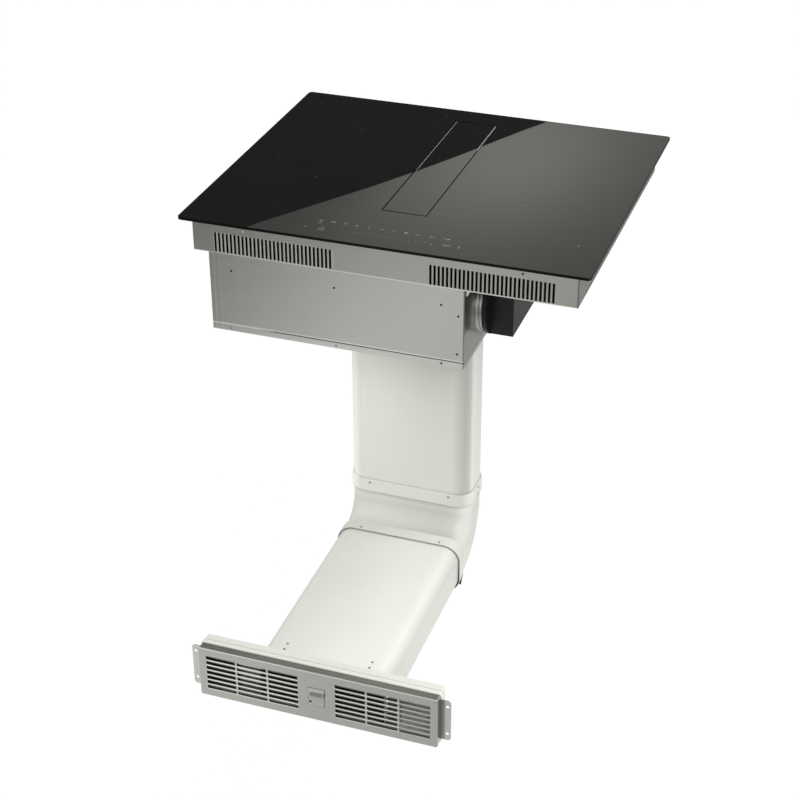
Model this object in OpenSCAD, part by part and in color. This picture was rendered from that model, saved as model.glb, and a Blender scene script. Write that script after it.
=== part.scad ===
// Venting induction hob: a glass hob with a central extraction slot, the fan box under it,
// and a flat duct that drops, turns and leads the air forward to a louvred plinth outlet.
// Millimetres. X to the right, Y to the back, Z up. The worktop surface is Z = 0, and the
// origin is the middle of the front run of the worktop seal.

/* [Glass] */
// Width of the hob glass
glass_w = 600; // [580:1:640]
// Depth of the hob glass, front to back
glass_d = 512; // [500:1:530]
// Thickness of the hob glass
glass_t = 4; // [3.5:0.5:6]
// Corner radius of the hob glass
glass_r = 6; // [2:0.5:12]
// Thickness of the foam seal on the worktop
seal_t = 1; // [0.8:0.1:1.5]
// Width of the foam seal
seal_w = 8; // [5:0.5:9]
// Seal set back from the edge of the glass
seal_inset = 2; // [1:0.5:2.5]

/* [Flap] */
// Width of the glass flap over the slot
flap_w = 64; // [56:1:68]
// Back edge of the flap to the back edge of the glass
flap_back = 46.5; // [40:0.5:60]
// Gap all round the flap
flap_gap = 1.5; // [1.4:0.1:2]
// Front edge of the glass to the front edge of the flap
flap_front = 115.5; // [112:0.5:120]
// Radius of the pins that the flap turns on
flap_pin_r = 2.5; // [2:0.1:2.8]

/* [Hob casing] */
// Side of the casing behind the side edge of the glass
casing_side = 18; // [15:1:22]
// Back of the casing in front of the back edge of the glass
casing_back = 15; // [13:0.5:18]
// Height of the casing under the glass
casing_h = 49.5; // [48:0.5:56]
// Casing front behind the front edge of the glass
casing_front = 12; // [11:0.5:14]
// Sheet thickness of the casing
casing_t = 1; // [0.8:0.1:1.2]
// Number of vent slots in each front group
slot_n = 30; // [20:1:31]
// Width of a vent slot
slot_w = 3; // [2:0.5:4]
// Distance from one vent slot to the next
slot_pitch = 6; // [5.5:0.1:6.2]
// Height of a vent slot
slot_h = 30; // [24:1:34]

/* [Fan box] */
// Width of the fan box
box_w = 383; // [378:1:390]
// Depth of the fan box, front to back
box_d = 240; // [236:1:250]
// Height of the fan box with its base
box_h = 124.5; // [122:0.5:135]
// Sheet thickness of the fan box and of its base
box_t = 1; // [0.8:0.1:1.2]
// Height of the lip of the base round the box
lip_h = 10; // [8:0.5:12]
// Outer radius of the round inlet collar
collar_r = 50; // [44:0.5:51]
// Radius of the fan wheel
wheel_r = 75; // [70:1:76]
// Height of the fan wheel's blades
wheel_h = 44; // [36:1:45]
// Number of fan blades
blade_n = 11; // [7:1:14]

/* [Intake box] */
// Width of the arm that leads to the collar
arm_w = 33; // [30:1:40]
// Height of the intake box
plenum_h = 105.5; // [102:0.5:110]
// Wall of the intake box
plenum_t = 2; // [1.5:0.1:2.4]

/* [Duct] */
// Outer width of the flat duct
duct_w = 190; // [180:1:192]
// Outer height of the flat duct
duct_d = 78; // [74:1:82]
// Outer corner radius of the flat duct
duct_r = 24; // [18:1:30]
// Wall of the duct and of the elbow
duct_t = 2.5; // [2:0.1:3]
// Fan box base to the rim of the elbow
drop_l = 249; // [150:1:600]
// Inner radius of the elbow's bend
bend_r = 26; // [24:1:60]
// Elbow outlet rim to the back of the plinth housing
run_l = 307.5; // [120:1:900]
// Depth of a socket that takes the duct
socket_l = 20; // [14:1:30]
// Clearance between a duct and its socket or spigot
fit_gap = 0.3; // [0.2:0.05:0.4]

/* [Plinth outlet] */
// Width of the louvred front
grille_w = 348; // [340:1:360]
// Height of the louvred front
grille_h = 82; // [80:1:90]
// Depth of the louvred front's folded edge
grille_d = 11; // [10:0.5:14]
// Sheet thickness of the louvred front and its frame
grille_t = 1; // [0.8:0.1:1.2]
// Depth of the plinth housing
housing_d = 19.5; // [18:0.5:30]
// Louvre rows in each window
louvre_rows = 7; // [5:1:7]
// Columns in each window
louvre_cols = 3; // [2:1:4]
// Height of a louvre opening
louvre_open = 6.2; // [4.5:0.1:6.4]
// Distance from one louvre row to the next
louvre_pitch = 8.4; // [7.8:0.1:8.4]
// Screw hole radius in the mounting ears
ear_hole_r = 2.5; // [2:0.1:3]
// Distance between the screw holes of the two ears
ear_span = 368; // [366:1:372]
// Distance between the two holes of one ear
ear_pitch = 46.6; // [40:0.2:50]

/* [Hidden] */
$fn = 48;
// Overrun of every cut past the face that it opens
over = 1;
// Running clearance of a shaft in its bearing
run_gap = 0.05;

// Heights of the main levels
glass_z = seal_t;
casing_z = glass_z - casing_h;
box_z = casing_z - box_h;
plenum_z = casing_z - plenum_h;

// Plan of the glass, casing and fan box
glass_y = -seal_inset - seal_w / 2;
casing_y = glass_y + casing_front;
casing_w = glass_w - 2 * casing_side;
casing_d = glass_d - casing_front - casing_back;
inner_x = casing_w / 2 - casing_t;
box_setback = 1.5;
box_inset = 22;
box_x = -casing_w / 2 + box_inset;
box_y = casing_y + box_setback;
box_right = box_x + box_w;
box_back = box_y + box_d;
box_top_in = casing_z - box_t;
box_floor = box_z + box_t;

// Slot in the glass and the throat under it
open_x = flap_w / 2 + flap_gap;
flap_l = glass_d - flap_front - flap_back;
open_y = glass_y + flap_front - flap_gap;
open_l = flap_l + 2 * flap_gap;
throat_clear = 0.5;
throat_t = 2;
throat_x = open_x + throat_clear;
throat_y = open_y - throat_clear;
throat_l = open_l + 2 * throat_clear;
throat_end = throat_y + throat_l;
ledge_w = 3;
ledge_t = 2;
plenum_gap = 4.5;
side_in = throat_x + throat_t;
plenum_y = box_back + plenum_gap;
mouth_y = plenum_y + plenum_t + ledge_w;

// Glass and seal
module rounded(w, d, r) {
    union() {
        square([w - 2 * r, d], center = true);
        square([w, d - 2 * r], center = true);
        for (sx = [-1, 1], sy = [-1, 1])
            translate([sx * (w / 2 - r), sy * (d / 2 - r)]) circle(r);
    }
}

module rounded_ring(w, d, r, t) {
    difference() {
        rounded(w, d, r);
        rounded(w - 2 * t, d - 2 * t, r - t);
    }
}

module box_at(x0, x1, y0, y1, z0, z1) {
    translate([x0, y0, z0]) cube([x1 - x0, y1 - y0, z1 - z0]);
}

module tube(r, t, h) {
    difference() {
        cylinder(r = r, h = h);
        translate([0, 0, -over]) cylinder(r = r - t, h = h + 2 * over);
    }
}

module along_y() { rotate([-90, 0, 0]) children(); }
module along_x() { rotate([0, 90, 0]) children(); }
module both_sides() { for (s = [-1, 1]) scale([s, 1, 1]) children(); }

module glass_top() {
    color("#17181a")
    translate([0, glass_y + glass_d / 2, glass_z]) difference() {
        linear_extrude(glass_t) rounded(glass_w, glass_d, glass_r);
        translate([-open_x, open_y - glass_y - glass_d / 2, -over])
            cube([2 * open_x, open_l, glass_t + 2 * over]);
    }
}

seal_r = 5;
module rim_seal() {
    color("#8f918c")
    translate([0, glass_y + glass_d / 2, 0]) linear_extrude(seal_t)
        rounded_ring(glass_w - 2 * seal_inset, glass_d - 2 * seal_inset, seal_r + seal_w, seal_w);
}

// Hob casing
slot_rise = 2;
slot_edge = 33;
fan_in = 13;
fan_from_back = 61;
fan_side = 80;
fan_h = 20;
fan_bore_r = 37;
vent_n = 7;
vent_w = 4;
vent_pitch = 8;
vent_l = 60;
gland_in = 101;
gland_x = -inner_x + gland_in;
fan_x = inner_x - fan_in - fan_side / 2;
fan_y = casing_y + casing_d - fan_from_back;
gland_hole_r = 8;
gland_z = casing_z + casing_h / 2;
module vent_slots() {
    for (i = [0:slot_n - 1])
        translate([casing_w / 2 - slot_edge - slot_w - i * slot_pitch, casing_y - over,
                   casing_z + slot_rise])
            cube([slot_w, casing_t + 2 * over, slot_h]);
}
module fan_vents() {
    for (i = [0:vent_n - 1])
        translate([fan_x + (i - (vent_n - 1) / 2) * vent_pitch - vent_w / 2, fan_y - vent_l / 2,
                   casing_z - over])
            cube([vent_w, vent_l, casing_t + 2 * over]);
}
// Sides of the casing
module casing_sides() {
    color("#a9aaa5")
    both_sides() box_at(inner_x, casing_w / 2, casing_y + casing_t, casing_y + casing_d,
                        casing_z, glass_z);
}
// Back of the casing, with the hole for the cable gland
module casing_back() {
    color("#a4a5a0")
    difference() {
        box_at(-inner_x, inner_x, casing_y + casing_d - casing_t, casing_y + casing_d, casing_z,
               glass_z);
        translate([gland_x, casing_y + casing_d - casing_t - over, gland_z])
            along_y() cylinder(r = gland_hole_r, h = casing_t + 2 * over);
    }
}
// Front of the casing with both groups of vent slots
module casing_front_sheet() {
    color("#abaca7")
    difference() {
        box_at(-casing_w / 2, casing_w / 2, casing_y, casing_y + casing_t, casing_z, glass_z);
        both_sides() vent_slots();
    }
}
// Flat base that closes the casing between its walls, open for the throat and under the fans
module casing_base() {
    color("#9fa09b")
    difference() {
        box_at(-casing_w / 2 + casing_t, casing_w / 2 - casing_t, casing_y + casing_t,
               casing_y + casing_d - casing_t, casing_z, casing_z + casing_t);
        box_at(-throat_x - throat_t, throat_x + throat_t, throat_y - throat_t,
               throat_end + throat_t, casing_z - over, casing_z + casing_t + over);
        both_sides() fan_vents();
    }
}

screw_r = 1.7;
screw_h = 0.8;
screw_slot = 0.5;
// A pan head that stands on a face and points along +Z
module screw_head() {
    difference() {
        cylinder(r1 = screw_r, r2 = screw_r - screw_h / 2, h = screw_h, $fn = 24);
        for (a = [0, 90]) rotate(a)
            translate([-screw_r / 2, -screw_slot / 2, screw_h / 2])
                cube([screw_r, screw_slot, screw_h]);
    }
}
casing_screw_in = 77;
casing_screw_x = inner_x - casing_screw_in;
casing_screw_drop = 9;
module casing_screws() {
    color("#5a5b58")
    both_sides() translate([casing_screw_x, casing_y, -casing_screw_drop])
        rotate([90, 0, 0]) screw_head();
}

// Induction parts inside the casing
coil_x = (inner_x + side_in) / 2;
coil_margin = 22.5;
coil_step = 10;
coil_gap = 10;
coil_room = 72;
coil_t = 6;
coil_wide_r = (inner_x - side_in) / 2 - coil_margin;
coil_deep_r = (casing_d - coil_margin - coil_gap + 2 * coil_step - coil_room) / 4;
coil_back_r = min(coil_wide_r, coil_deep_r);
coil_front_r = coil_back_r - coil_step;
coil_back_y = casing_y + casing_d - coil_back_r - coil_margin;
coil_front_y = coil_back_y - coil_back_r - coil_gap - coil_front_r;
coil_eye_r = 20;
coil_groove = 1.5;
coil_turn = 8;
carrier_t = 4;
carrier_edge = 3;
sensor_r = 6;
support_t = 2;
support_in = 6;
support_x0 = side_in + support_in;
support_x1 = inner_x - support_in;
support_front = 64;
support_y0 = casing_y + support_front;
support_y1 = casing_y + casing_d - casing_t - support_in;
module each_coil() {
    both_sides() {
        translate([coil_x, coil_front_y]) { $coil_r = coil_front_r; children(); }
        translate([coil_x, coil_back_y]) { $coil_r = coil_back_r; children(); }
    }
}
module coil_windings() {
    color("#b4622d")
    each_coil() translate([0, 0, glass_z - coil_t]) difference() {
        cylinder(r = $coil_r, h = coil_t);
        translate([0, 0, -over]) cylinder(r = coil_eye_r, h = coil_t + 2 * over);
        for (r = [coil_eye_r + coil_turn : coil_turn : $coil_r - coil_turn])
            translate([0, 0, coil_t / 2]) tube(r, coil_groove, coil_t);
    }
}
module coil_carriers() {
    color("#d5cfc0")
    each_coil() translate([0, 0, glass_z - coil_t - carrier_t]) difference() {
        cylinder(r = $coil_r + carrier_edge, h = carrier_t);
        translate([0, 0, -over]) cylinder(r = sensor_r, h = carrier_t + 2 * over);
    }
}
support_z = glass_z - coil_t - carrier_t - support_t;
module coil_supports() {
    color("#c9cbcd")
    both_sides() {
        box_at(support_x0, support_x1, support_y0, support_y1, support_z, support_z + support_t);
        for (x = [support_x0, support_x1 - support_t])
            box_at(x, x + support_t, support_y0, support_y1, casing_z + casing_t,
                   support_z + support_t);
    }
}

board_in = 24;
board_x0 = side_in + board_in;
board_x1 = inner_x - board_in;
board_front = 84;
board_y0 = casing_y + board_front;
board_y1 = fan_y - fan_side / 2 - 2 * board_in;
board_t = 1.6;
board_post = 6;
board_post_r = 3;
board_post_in = 8;
board_z = casing_z + casing_t + board_post;
choke_r = 14;
choke_h = 20;
cap_r = 9;
cap_h = 24;
choke_shares = [[0.2, 0.2], [0.2, 0.42], [0.2, 0.64]];
cap_shares = [[0.2, 0.84], [0.4, 0.9], [0.6, 0.9]];
board_w = board_x1 - board_x0;
board_l = board_y1 - board_y0;
module power_boards() {
    color("#2c5a3a")
    both_sides() {
        box_at(board_x0, board_x1, board_y0, board_y1, board_z, board_z + board_t);
        for (x = [board_x0 + board_post_in, board_x1 - board_post_in],
             y = [board_y0 + board_post_in, board_y1 - board_post_in])
            translate([x, y, casing_z + casing_t]) cylinder(r = board_post_r, h = board_post);
        translate([board_x0, board_y0, board_z + board_t]) {
            for (p = choke_shares) translate([p[0] * board_w, p[1] * board_l])
                tube(choke_r, choke_r / 2, choke_h);
            for (p = cap_shares) translate([p[0] * board_w, p[1] * board_l])
                cylinder(r = cap_r, h = cap_h);
        }
    }
}
sink_in = 13;
sink_w = 80;
sink_x1 = board_x1 - sink_in;
sink_x0 = sink_x1 - sink_w;
sink_y0 = board_y0 + 2 * sink_in;
sink_y1 = board_y1 - 5 * sink_in;
sink_base = 4;
sink_h = 24;
fin_n = 9;
fin_t = 2;
module heat_sinks() {
    color("#9ea1a4")
    both_sides() translate([sink_x0, sink_y0, board_z + board_t]) {
        cube([sink_x1 - sink_x0, sink_y1 - sink_y0, sink_base]);
        for (i = [0:fin_n - 1])
            translate([i * (sink_x1 - sink_x0 - fin_t) / (fin_n - 1), 0, 0])
                cube([fin_t, sink_y1 - sink_y0, sink_h]);
    }
}

rotor_hub_r = 15;
rotor_tip_r = 35;
rotor_h = 13;
rotor_pin_r = 1.5;
rotor_pin_l = 4.5;
rotor_blades = 7;
rotor_blade_t = 1.5;
rotor_pitch = 35;
boss_r = 5;
spoke_w = 4;
spoke_t = 3;
fan_z = casing_z + casing_t;
module cooling_fan_frames() {
    color("#2b2c2e")
    both_sides() translate([fan_x, fan_y, fan_z]) {
        difference() {
            translate([-fan_side / 2, -fan_side / 2, 0]) cube([fan_side, fan_side, fan_h]);
            translate([0, 0, -over]) cylinder(r = fan_bore_r, h = fan_h + 2 * over);
        }
        difference() {
            union() {
                translate([-fan_bore_r - over, -spoke_w / 2, 0])
                    cube([2 * (fan_bore_r + over), spoke_w, spoke_t]);
                translate([-spoke_w / 2, -fan_bore_r - over, 0])
                    cube([spoke_w, 2 * (fan_bore_r + over), spoke_t]);
                cylinder(r = boss_r, h = spoke_t + over);
            }
            translate([0, 0, over]) cylinder(r = rotor_pin_r + run_gap, h = fan_h);
        }
    }
}
module rotor_blade() {
    translate([(rotor_hub_r + rotor_tip_r) / 2 - over, 0, rotor_h / 2]) rotate([rotor_pitch, 0, 0])
        cube([rotor_tip_r - rotor_hub_r, rotor_h, rotor_blade_t], center = true);
}
module cooling_rotor(side) {
    color("#2f3033")
    translate([side * fan_x, fan_y, fan_z + spoke_t + 2 * over]) {
        cylinder(r = rotor_hub_r, h = rotor_h);
        translate([0, 0, -rotor_pin_l + over]) cylinder(r = rotor_pin_r, h = rotor_pin_l);
        for (i = [0:rotor_blades - 1]) rotate(i * 360 / rotor_blades) rotor_blade();
    }
}
module cooling_rotor_left() { cooling_rotor(-1); }
module cooling_rotor_right() { cooling_rotor(1); }

touch_x = 132;
touch_y0 = 12;
touch_y1 = 62;
module touch_board() {
    color("#1e4430")
    box_at(-touch_x, touch_x, touch_y0, touch_y1, glass_z - board_t, glass_z);
}

gland_r = 11;
gland_bore_r = 5;
gland_l = 14;
gland_neck = 6;
module cable_gland() {
    color("#303133")
    translate([gland_x, casing_y + casing_d, gland_z]) along_y() difference() {
        union() {
            cylinder(r = gland_r, h = gland_l, $fn = 6);
            translate([0, 0, -casing_t - gland_neck])
                cylinder(r = gland_hole_r - fit_gap, h = gland_neck + casing_t);
        }
        translate([0, 0, -casing_t - gland_neck - over])
            cylinder(r = gland_bore_r, h = gland_l + casing_t + gland_neck + 2 * over);
    }
}

// Flap over the slot, turning on a long axis under its middle
pin_drop = 5;
pin_z = glass_z - pin_drop;
bush_r = 4.6;
bush_l = 4;
carrier_x = 24;
carrier_plate = 2;
lug_x = 4;
lug_l = 3;
pin_clear = 0.5;
flap_y0 = open_y + flap_gap;
flap_y1 = flap_y0 + flap_l;
carrier_y0 = throat_y + bush_l + pin_clear;
carrier_y1 = throat_end - bush_l - pin_clear;
motor_pin = 8;
wall_hole_r = 4;
module flap_glass() {
    color("#17181a")
    box_at(-flap_w / 2, flap_w / 2, flap_y0, flap_y1, glass_z, glass_z + glass_t);
}
module flap_carrier() {
    color("#8d8f8c")
    union() {
        box_at(-carrier_x, carrier_x, carrier_y0, carrier_y1, glass_z - carrier_plate, glass_z);
        box_at(-lug_x, lug_x, carrier_y0, carrier_y0 + lug_l, pin_z - flap_pin_r, glass_z - over);
        box_at(-lug_x, lug_x, carrier_y1 - lug_l, carrier_y1, pin_z - flap_pin_r, glass_z - over);
        translate([0, throat_y + pin_clear, pin_z]) along_y()
            cylinder(r = flap_pin_r, h = bush_l + over);
        translate([0, carrier_y1 - over, pin_z]) along_y()
            cylinder(r = flap_pin_r, h = bush_l + pin_clear + throat_t + motor_pin - over);
    }
}
module flap_bush() {
    along_y() difference() {
        cylinder(r = bush_r, h = bush_l);
        translate([0, 0, -over]) cylinder(r = flap_pin_r + run_gap, h = bush_l + 2 * over);
    }
}
module flap_bushes() {
    color("#c9a25a")
    for (y = [throat_y, throat_end - bush_l]) translate([0, y, pin_z]) flap_bush();
}
motor_r = 19;
motor_l = 20;
motor_boss_r = 4.5;
motor_bore = 12;
motor_z = pin_z - motor_r;
module flap_motor() {
    color("#d9d9d4")
    translate([0, throat_end + throat_t, 0]) difference() {
        union() {
            translate([0, 0, motor_z]) along_y() cylinder(r = motor_r, h = motor_l);
            translate([0, 0, pin_z]) along_y() cylinder(r = motor_boss_r, h = motor_l / 2);
        }
        translate([0, -over, pin_z]) along_y() cylinder(r = flap_pin_r + run_gap,
                                                       h = motor_bore + over);
    }
}

// Throat, grease filter and intake box
module intake_throat() {
    color("#26272a")
    difference() {
        box_at(-throat_x - throat_t, throat_x + throat_t, throat_y - throat_t,
               throat_end + throat_t, casing_z, glass_z);
        box_at(-throat_x, throat_x, throat_y, throat_end, casing_z + ledge_t, glass_z + over);
        box_at(-throat_x + ledge_w, throat_x - ledge_w, throat_y, throat_end - ledge_w,
               casing_z - over, casing_z + ledge_t + over);
        box_at(-throat_x, throat_x, throat_y, mouth_y, casing_z - over,
               casing_z + ledge_t + over);
        translate([0, throat_end - over, pin_z]) along_y()
            cylinder(r = wall_hole_r, h = throat_t + 2 * over);
    }
}
// Floor of the throat in front of the filter, whose back edge carries the filter
module throat_floor() {
    color("#2a2b2e")
    box_at(-throat_x, throat_x, throat_y, mouth_y, casing_z, casing_z + ledge_t);
}
filter_h = 8;
filter_rim = 5;
filter_bar = 2;
filter_cols = 4;
filter_rows = 13;
finger_w = 20;
finger_l = 14;
filter_x = throat_x - throat_clear;
filter_y0 = mouth_y - ledge_w;
filter_y1 = throat_end - throat_clear;
module grease_filter() {
    cell_x = (2 * filter_x - 2 * filter_rim - (filter_cols - 1) * filter_bar) / filter_cols;
    cell_y = (filter_y1 - filter_y0 - 2 * filter_rim - (filter_rows - 1) * filter_bar)
             / filter_rows;
    color("#b9bbba")
    difference() {
        box_at(-filter_x, filter_x, filter_y0, filter_y1, casing_z + ledge_t,
               casing_z + ledge_t + filter_h);
        for (i = [0:filter_cols - 1], j = [0:filter_rows - 1])
            translate([-filter_x + filter_rim + i * (cell_x + filter_bar),
                       filter_y0 + filter_rim + j * (cell_y + filter_bar), casing_z])
                cube([cell_x, cell_y, filter_h + ledge_t + over]);
        box_at(-filter_x + filter_rim, filter_x - filter_rim, filter_y0 + filter_rim,
               filter_y1 - filter_rim, casing_z + ledge_t + filter_h / 2,
               casing_z + ledge_t + filter_h + over);
    }
}

spigot_l = 6;
spigot_t = 2;
arm_setback = 80.5;
collar_setback = 102;
collar_drop = 58.5;
collar_l = 9;
plenum_left = 45;
plenum_back = 8.5;
arm_x = box_right + collar_l + spigot_l;
arm_y = box_y + arm_setback;
collar_y = box_y + collar_setback;
collar_z = casing_z - collar_drop;
plenum_y1 = throat_end + plenum_back;
module plenum_plan(t) {
    polygon([[arm_x + t, arm_y + t], [arm_x + arm_w - t, arm_y + t],
             [arm_x + arm_w - t, plenum_y1 - t], [-plenum_left + t, plenum_y1 - t],
             [-plenum_left + t, plenum_y + t], [arm_x + t, plenum_y + t]]);
}
module intake_box() {
    color("#242424")
    difference() {
        union() {
            translate([0, 0, plenum_z]) linear_extrude(plenum_h) plenum_plan(0);
            translate([arm_x - spigot_l, collar_y, collar_z]) along_x()
                cylinder(r = collar_r + spigot_t, h = spigot_l);
        }
        translate([0, 0, plenum_z + plenum_t]) linear_extrude(plenum_h - 2 * plenum_t)
            plenum_plan(plenum_t);
        box_at(-throat_x, throat_x, filter_y0, throat_end, casing_z - plenum_t - over,
               casing_z + over);
        translate([arm_x - spigot_l - over, collar_y, collar_z]) along_x()
            cylinder(r = collar_r + fit_gap, h = spigot_l - spigot_t + over);
        intersection() {
            translate([arm_x - spigot_l, collar_y, collar_z]) along_x()
                cylinder(r = collar_r - spigot_t, h = spigot_l + plenum_t + over);
            box_at(arm_x - spigot_l, arm_x + arm_w, arm_y + plenum_t, plenum_y, plenum_z, casing_z);
        }
    }
}
tray_rim = 12;
tray_t = 1.5;
tray_clear = 4;
module drip_tray() {
    color("#3a3b3d")
    difference() {
        box_at(-plenum_left + plenum_t + tray_clear, arm_x - tray_clear,
               plenum_y + plenum_t + tray_clear, plenum_y1 - plenum_t - tray_clear,
               plenum_z + plenum_t, plenum_z + plenum_t + tray_rim);
        box_at(-plenum_left + plenum_t + tray_clear + tray_t, arm_x - tray_clear - tray_t,
               plenum_y + plenum_t + tray_clear + tray_t,
               plenum_y1 - plenum_t - tray_clear - tray_t,
               plenum_z + plenum_t + tray_t, plenum_z + plenum_t + tray_rim + over);
    }
}

collar_t = 1;
collar_flange_r = 56;
collar_in = 4;
bead_h = 1;
bead_w = 1.2;
bead_x = [4, 6.4];
module inlet_collar() {
    color("#b9bab6")
    translate([box_right, collar_y, collar_z]) along_x() difference() {
        union() {
            translate([0, 0, -collar_in]) cylinder(r = collar_r, h = collar_in + collar_l + spigot_l / 2);
            cylinder(r = collar_flange_r, h = collar_t);
            for (x = bead_x) translate([0, 0, x]) cylinder(r = collar_r + bead_h, h = bead_w);
        }
        translate([0, 0, -collar_in - over])
            cylinder(r = collar_r - collar_t, h = collar_in + collar_l + spigot_l + 2 * over);
    }
}

// Fan box, its base and its brackets
lap_h = 12;
module fan_box() {
    color("#a3a49f")
    difference() {
        box_at(box_x, box_right, box_y, box_back, box_z + lip_h, casing_z);
        box_at(box_x + box_t, box_right - box_t, box_y + box_t, box_back - box_t,
               box_z + lip_h - over, box_top_in);
        translate([box_right - box_t - over, collar_y, collar_z]) along_x()
            cylinder(r = collar_r + fit_gap, h = box_t + 2 * over);
    }
}

duct_in = 99.3;
duct_x = box_right - duct_in;
duct_setback = 52.5;
duct_y = box_y + duct_setback + duct_d / 2;
spigot_w = duct_w - 2 * duct_t - 2 * fit_gap;
spigot_d = duct_d - 2 * duct_t - 2 * fit_gap;
spigot_r = duct_r - duct_t - fit_gap;
module fan_box_base() {
    color("#9c9d98")
    difference() {
        union() {
            box_at(box_x, box_right, box_y, box_back, box_z, box_z + lip_h);
            box_at(box_x + box_t, box_right - box_t, box_y + box_t, box_back - box_t,
                   box_z, box_z + box_t + lap_h);
        }
        box_at(box_x + 2 * box_t, box_right - 2 * box_t, box_y + 2 * box_t, box_back - 2 * box_t,
               box_floor, box_z + box_t + lap_h + over);
        translate([duct_x, duct_y, box_z - over]) linear_extrude(box_t + 2 * over)
            rounded(spigot_w + 2 * fit_gap, spigot_d + 2 * fit_gap, spigot_r + fit_gap);
    }
}
hanger_t = 1.5;
hanger_w = 12;
hanger_h = 12;
hanger_foot = 12;
hanger_y_shares = [0.03, 0.8];
module hanger() {
    box_at(0, hanger_t, 0, hanger_w, -hanger_h, 0);
    box_at(0, hanger_foot, 0, hanger_w, -hanger_t, 0);
}
module box_hangers() {
    color("#dcdcd6")
    for (s = hanger_y_shares) {
        translate([box_right, box_y + s * box_d, casing_z]) hanger();
        translate([box_x, box_y + s * box_d, casing_z]) mirror([1, 0, 0]) hanger();
    }
}
// Screws of the box front as distance from the left side and height over the base
box_screw_places = [[34, 98], [191, 97], [349, 97], [374, 83], [373, 23], [6, 83],
                    [29, 4.5], [192, 4.5], [350, 4.5]];
module box_screws() {
    color("#4c4d4a")
    for (p = box_screw_places) translate([box_x + p[0], box_y, box_z + p[1]])
        rotate([90, 0, 0]) screw_head();
}

// Fan: scroll, cover, wheel, shaft and motor
scroll_t = 2;
scroll_gap = 4;
scroll_grow = 4;
scroll_h = 58;
channel_w = 56;
hood_gap = 1;
hood_t = 1.2;
hood_low = 12;
hood_flat = 8;
hood_x0 = duct_x - duct_w / 2 - hood_gap;
hood_x1 = duct_x + duct_w / 2 + hood_gap;
hood_y0 = duct_y - duct_d / 2 - hood_gap;
hood_y1 = duct_y + duct_d / 2 + hood_gap;
wheel_side = 96;
wheel_x = box_x + wheel_side + box_t;
scroll_r = wheel_r + scroll_gap;
wheel_y = hood_y0 + scroll_r + 3.5 * scroll_grow;
// The scroll is made of quarter discs, each larger than the one before, on stepped centres
module scroll_quarter(a, sx, sy, r) {
    translate([wheel_x + sx * scroll_grow / 2, wheel_y + sy * scroll_grow / 2]) intersection() {
        circle(r);
        rotate(a) square(2 * r);
    }
}
module scroll_plan(t) {
    union() {
        scroll_quarter(270, 1, 1, scroll_r + t);
        scroll_quarter(0, -1, 1, scroll_r + scroll_grow + t);
        scroll_quarter(90, -1, -1, scroll_r + 2 * scroll_grow + t);
        scroll_quarter(180, 1, -1, scroll_r + 3 * scroll_grow + t);
        translate([wheel_x, wheel_y]) circle(2 * scroll_grow);
        translate([wheel_x, hood_y0 - t])
            square([hood_x0 - hood_t - wheel_x, channel_w + 2 * t]);
    }
}
module scroll_housing() {
    color("#54565a")
    difference() {
        translate([0, 0, box_floor]) linear_extrude(scroll_h) scroll_plan(scroll_t);
        translate([0, 0, box_floor + scroll_t]) linear_extrude(scroll_h) scroll_plan(0);
        box_at(hood_x0 - hood_t - over, hood_x0 + over, hood_y0, hood_y0 + channel_w,
               box_floor + scroll_t, box_floor + scroll_h + over);
    }
}
mouth_r = 56;
mouth_lip = 6;
scroll_top = box_floor + scroll_h;
module scroll_cover() {
    color("#4b4d51")
    union() {
        translate([0, 0, scroll_top]) difference() {
            linear_extrude(scroll_t) scroll_plan(scroll_t);
            translate([wheel_x, wheel_y, -over]) cylinder(r = mouth_r, h = scroll_t + 2 * over);
        }
        translate([wheel_x, wheel_y, scroll_top]) rotate_extrude() translate([mouth_r, 0])
            intersection() {
                translate([mouth_lip, 0]) difference() {
                    circle(mouth_lip);
                    circle(mouth_lip - scroll_t);
                }
                square([mouth_lip, mouth_lip]);
            }
    }
}

plate_t = 2;
cup_r = 34;
cup_t = 2;
cup_h = 29;
hub_r = 9;
hub_l = 14;
shaft_r = 4;
blade_t = 1.6;
blade_in_r = 48;
blade_arc_r = 40;
wheel_lift = 7;
wheel_z = box_floor + wheel_lift;
blade_x0 = 43;
blade_x1 = 71;
// A blade is a piece of a round arc. It leans back from the way that the wheel turns, and its
// ends go half into the plates
module fan_blade() {
    linear_extrude(wheel_h + plate_t) intersection() {
        translate([blade_in_r, -blade_arc_r / 2]) difference() {
            circle(blade_arc_r);
            circle(blade_arc_r - blade_t);
        }
        translate([blade_x0, 0]) square([blade_x1 - blade_x0, blade_arc_r]);
    }
}
module impeller() {
    color("#3d6a8a")
    translate([wheel_x, wheel_y, wheel_z]) union() {
        difference() {
            union() {
                cylinder(r = wheel_r, h = plate_t);
                cylinder(r = cup_r + cup_t, h = cup_h);
                cylinder(r = hub_r, h = cup_h + hub_l - cup_t);
            }
            translate([0, 0, -over]) cylinder(r = cup_r, h = cup_h - cup_t + over);
            cylinder(r = shaft_r + run_gap, h = cup_h + hub_l);
        }
        for (i = [0:blade_n - 1]) rotate(i * 360 / blade_n)
            translate([0, 0, plate_t / 2]) fan_blade();
        translate([0, 0, plate_t + wheel_h]) difference() {
            cylinder(r = wheel_r, h = plate_t);
            translate([0, 0, -over]) cylinder(r = mouth_r, h = plate_t + 2 * over);
        }
    }
}
can_r = 30;
can_h = 30;
bearing_l = 24;
foot_r = 12;
module fan_motor() {
    color("#8a8c90")
    translate([wheel_x, wheel_y, box_floor + scroll_t]) difference() {
        union() {
            cylinder(r = can_r, h = can_h - cup_t);
            cylinder(r = foot_r, h = can_h);
        }
        translate([0, 0, can_h - bearing_l]) cylinder(r = shaft_r + run_gap, h = bearing_l + over);
    }
}
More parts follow.
